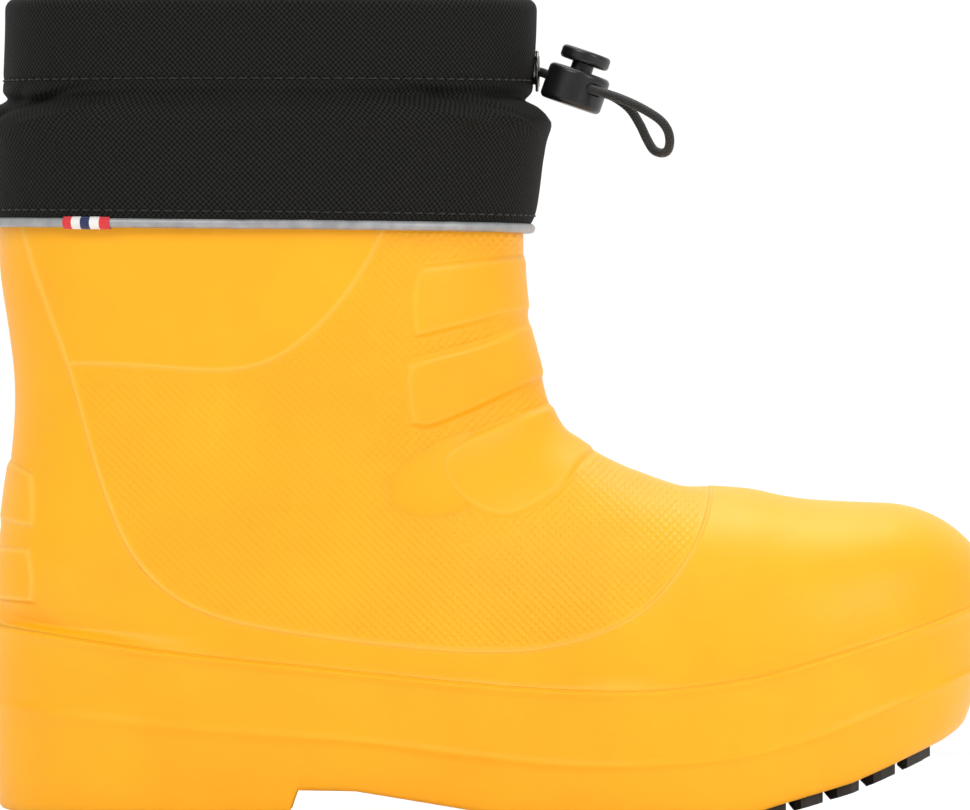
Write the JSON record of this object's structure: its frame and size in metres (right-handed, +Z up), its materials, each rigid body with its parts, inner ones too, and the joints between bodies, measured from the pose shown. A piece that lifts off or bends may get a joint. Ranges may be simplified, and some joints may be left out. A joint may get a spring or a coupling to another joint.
{
  "type": "deck boot",
  "caption": "Right ankle-high deck boot: moulded foam shell with rubber treads, textile collar with drawcord and cord lock, felt liner and footbed.",
  "frame": {"origin": "on the ground, below the middle of the boot", "axes": "+X points to the toe, +Z up, +Y to the inner side of the foot, -Y to the outer side"},
  "size_m": [0.3039, 0.1146, 0.2495],
  "materials": {
    "eva_foam": "satin moulded foam with fine grain",
    "tread_rubber": "matt black rubber",
    "collar_nylon": "coarse black woven nylon",
    "lining_fabric": "smooth woven lining",
    "seam_tape": "ribbed polyester tape",
    "thread": "twisted polyester thread",
    "reflective": "silver-grey reflective tape",
    "piping_cord": "white twisted cord",
    "ribbon": "striped grosgrain ribbon",
    "nickel": "polished nickel plate",
    "elastic_cord": "braided elastic cord",
    "lock_plastic": "satin black acetal",
    "spring_steel": "bright spring wire",
    "felt": "grey needled felt",
    "board": "fibre board",
    "bed_foam": "open-cell foam",
    "bed_cover": "brushed knit"
  },
  "bodies": {
    "boot": {"eva_shell": "eva_foam", "outsole_forefoot": "tread_rubber", "outsole_heel": "tread_rubber", "collar_cuff": "collar_nylon", "collar_lining": "lining_fabric", "tunnel_facing": "collar_nylon", "back_seam_tape": "seam_tape", "collar_stitching": "thread", "piping_cover": "reflective", "piping_core": "piping_cord", "striped_tab": "ribbon", "eyelet": "nickel", "eyelet_washer": "nickel", "drawcord_inner": "elastic_cord", "drawcord_loop": "elastic_cord", "liner_bootie": "felt", "liner_binding": "seam_tape", "liner_pull_loop": "seam_tape", "insole_board": "board", "footbed_foam": "bed_foam", "footbed_cover": "bed_cover"},
    "cord_lock": {"lock_barrel": "lock_plastic", "lock_spring": "spring_steel"},
    "lock_button": {"lock_plunger": "lock_plastic"}
  },
  "joints": [
    {"name": "lock_slide", "type": "slide", "parent": "boot", "child": "cord_lock", "axis": [0.6078, -0.766, -0.2093], "range_m": [0, 0.005]},
    {"name": "button_press", "type": "slide", "parent": "cord_lock", "child": "lock_button", "axis": [-0.3256, 0, -0.9455], "range_m": [0, 0.002], "stiffness_N_per_m": 1500, "deforming": ["lock_spring"]}
  ]
}
